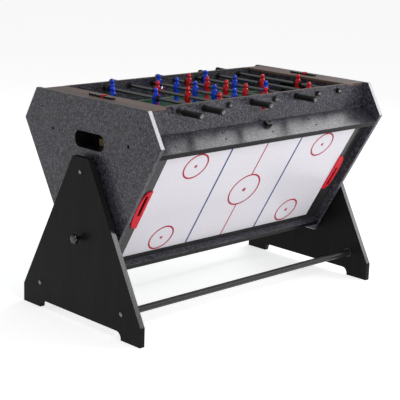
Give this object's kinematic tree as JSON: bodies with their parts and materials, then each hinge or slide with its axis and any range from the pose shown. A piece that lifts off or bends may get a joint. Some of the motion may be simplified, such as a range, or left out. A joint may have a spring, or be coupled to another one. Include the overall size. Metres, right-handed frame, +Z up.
{
  "type": "three-game table",
  "caption": "Tumbling three-game table on a stand: table soccer, air hockey and bumper pool on the faces of one turning drum.",
  "frame": {"origin": "on the floor, under the middle of the table", "axes": "+X along the table and its turning axis, +Z up, -Y towards the air hockey face"},
  "size_m": [1.368, 0.816, 0.864],
  "materials": {
    "legs": "black satin laminate",
    "laminate": "dark granite-speckle laminate",
    "woodgrain": "brown wood-grain foil",
    "edging": "silver-white edging",
    "pitch": "printed green board",
    "ice": "white gloss laminate",
    "red_plastic": "red moulded",
    "blue_plastic": "blue moulded",
    "black_plastic": "black moulded",
    "rubber": "black rubber",
    "chrome": "chrome-plated steel",
    "black_steel": "black powder coat",
    "raw_board": "raw fibreboard",
    "cloth": "green woven cloth"
  },
  "bodies": {
    "stand": {"left_leg_panel": "legs", "right_leg_panel": "legs", "stretcher_tubes": "black_steel", "stand_bolts": "chrome"},
    "drum": {"left_end_panel": "laminate", "right_end_panel": "laminate", "edge_trims": "edging", "soccer_walls": "laminate", "soccer_end_caps": "woodgrain", "soccer_pitch": "pitch", "ball_returns": "black_plastic", "rod_bushings": "black_plastic", "score_scales": "black_plastic", "hockey_rails": "laminate", "hockey_playfield": "ice", "hockey_goals": "red_plastic", "hockey_blower": "black_plastic", "switch_box": "black_plastic", "pool_rails": "laminate", "pool_bed": "cloth", "pool_cushions": "cloth", "pool_pockets": "black_plastic", "pool_bumpers": "rubber"},
    "left_lock_knob": {"left_lock_knob": "black_plastic"},
    "right_lock_knob": {"right_lock_knob": "black_plastic"},
    "left_score_slider": {"left_score_slider": "red_plastic"},
    "right_score_slider": {"right_score_slider": "red_plastic"},
    "switch_rocker": {"switch_rocker": "black_plastic"},
    "rod_1_inner": {"rod_1_inner": "chrome"},
    "rod_1": {"rod_1_tube": "chrome", "rod_1_players": "blue_plastic", "rod_1_grip_and_stops": "rubber"},
    "rod_2_inner": {"rod_2_inner": "chrome"},
    "rod_2": {"rod_2_tube": "chrome", "rod_2_players": "blue_plastic", "rod_2_grip_and_stops": "rubber"},
    "rod_3_inner": {"rod_3_inner": "chrome"},
    "rod_3": {"rod_3_tube": "chrome", "rod_3_players": "red_plastic", "rod_3_grip_and_stops": "rubber"},
    "rod_4_inner": {"rod_4_inner": "chrome"},
    "rod_4": {"rod_4_tube": "chrome", "rod_4_players": "blue_plastic", "rod_4_grip_and_stops": "rubber"},
    "rod_5_inner": {"rod_5_inner": "chrome"},
    "rod_5": {"rod_5_tube": "chrome", "rod_5_players": "red_plastic", "rod_5_grip_and_stops": "rubber"},
    "rod_6_inner": {"rod_6_inner": "chrome"},
    "rod_6": {"rod_6_tube": "chrome", "rod_6_players": "blue_plastic", "rod_6_grip_and_stops": "rubber"},
    "rod_7_inner": {"rod_7_inner": "chrome"},
    "rod_7": {"rod_7_tube": "chrome", "rod_7_players": "red_plastic", "rod_7_grip_and_stops": "rubber"},
    "rod_8_inner": {"rod_8_inner": "chrome"},
    "rod_8": {"rod_8_tube": "chrome", "rod_8_players": "red_plastic", "rod_8_grip_and_stops": "rubber"}
  },
  "joints": [
    {"name": "drum_turn", "type": "hinge", "parent": "stand", "child": "drum", "pos_m": [0, 0, 0.58], "axis": [1, 0, 0], "range_deg": [-120, 120]},
    {"name": "left_lock", "type": "slide", "parent": "stand", "child": "left_lock_knob", "axis": [1, 0, 0], "range_m": [0, 0.012]},
    {"name": "right_lock", "type": "slide", "parent": "stand", "child": "right_lock_knob", "axis": [-1, 0, 0], "range_m": [0, 0.012]},
    {"name": "left_score", "type": "slide", "parent": "drum", "child": "left_score_slider", "axis": [0, 1, 0], "range_m": [-0.049, 0.069]},
    {"name": "right_score", "type": "slide", "parent": "drum", "child": "right_score_slider", "axis": [0, 1, 0], "range_m": [-0.049, 0.069]},
    {"name": "switch_press", "type": "hinge", "parent": "drum", "child": "switch_rocker", "pos_m": [0.004, -0.31491, 0.74344], "axis": [0, -0.866, -0.5], "range_deg": [-16, 0]},
    {"name": "rod_1_spin", "type": "hinge", "parent": "drum", "child": "rod_1_inner", "pos_m": [-0.4375, 0, 0.8235], "axis": [0, 1, 0], "continuous": true},
    {"name": "rod_1_slide", "type": "slide", "parent": "rod_1_inner", "child": "rod_1", "axis": [0, -1, 0], "range_m": [-0.018, 0.166]},
    {"name": "rod_2_spin", "type": "hinge", "parent": "drum", "child": "rod_2_inner", "pos_m": [-0.3125, 0, 0.8235], "axis": [0, 1, 0], "continuous": true},
    {"name": "rod_2_slide", "type": "slide", "parent": "rod_2_inner", "child": "rod_2", "axis": [0, -1, 0], "range_m": [0, 0.202]},
    {"name": "rod_3_spin", "type": "hinge", "parent": "drum", "child": "rod_3_inner", "pos_m": [-0.1875, 0, 0.8235], "axis": [0, 1, 0], "continuous": true},
    {"name": "rod_3_slide", "type": "slide", "parent": "rod_3_inner", "child": "rod_3", "axis": [0, 1, 0], "range_m": [0, 0.138]},
    {"name": "rod_4_spin", "type": "hinge", "parent": "drum", "child": "rod_4_inner", "pos_m": [-0.0625, 0, 0.8235], "axis": [0, 1, 0], "continuous": true},
    {"name": "rod_4_slide", "type": "slide", "parent": "rod_4_inner", "child": "rod_4", "axis": [0, -1, 0], "range_m": [0, 0.04]},
    {"name": "rod_5_spin", "type": "hinge", "parent": "drum", "child": "rod_5_inner", "pos_m": [0.0625, 0, 0.8235], "axis": [0, 1, 0], "continuous": true},
    {"name": "rod_5_slide", "type": "slide", "parent": "rod_5_inner", "child": "rod_5", "axis": [0, 1, 0], "range_m": [0, 0.052]},
    {"name": "rod_6_spin", "type": "hinge", "parent": "drum", "child": "rod_6_inner", "pos_m": [0.1875, 0, 0.8235], "axis": [0, 1, 0], "continuous": true},
    {"name": "rod_6_slide", "type": "slide", "parent": "rod_6_inner", "child": "rod_6", "axis": [0, -1, 0], "range_m": [0, 0.096]},
    {"name": "rod_7_spin", "type": "hinge", "parent": "drum", "child": "rod_7_inner", "pos_m": [0.3125, 0, 0.8235], "axis": [0, 1, 0], "continuous": true},
    {"name": "rod_7_slide", "type": "slide", "parent": "rod_7_inner", "child": "rod_7", "axis": [0, 1, 0], "range_m": [0, 0.23]},
    {"name": "rod_8_spin", "type": "hinge", "parent": "drum", "child": "rod_8_inner", "pos_m": [0.4375, 0, 0.8235], "axis": [0, 1, 0], "continuous": true},
    {"name": "rod_8_slide", "type": "slide", "parent": "rod_8_inner", "child": "rod_8", "axis": [0, 1, 0], "range_m": [-0.018, 0.166]}
  ]
}
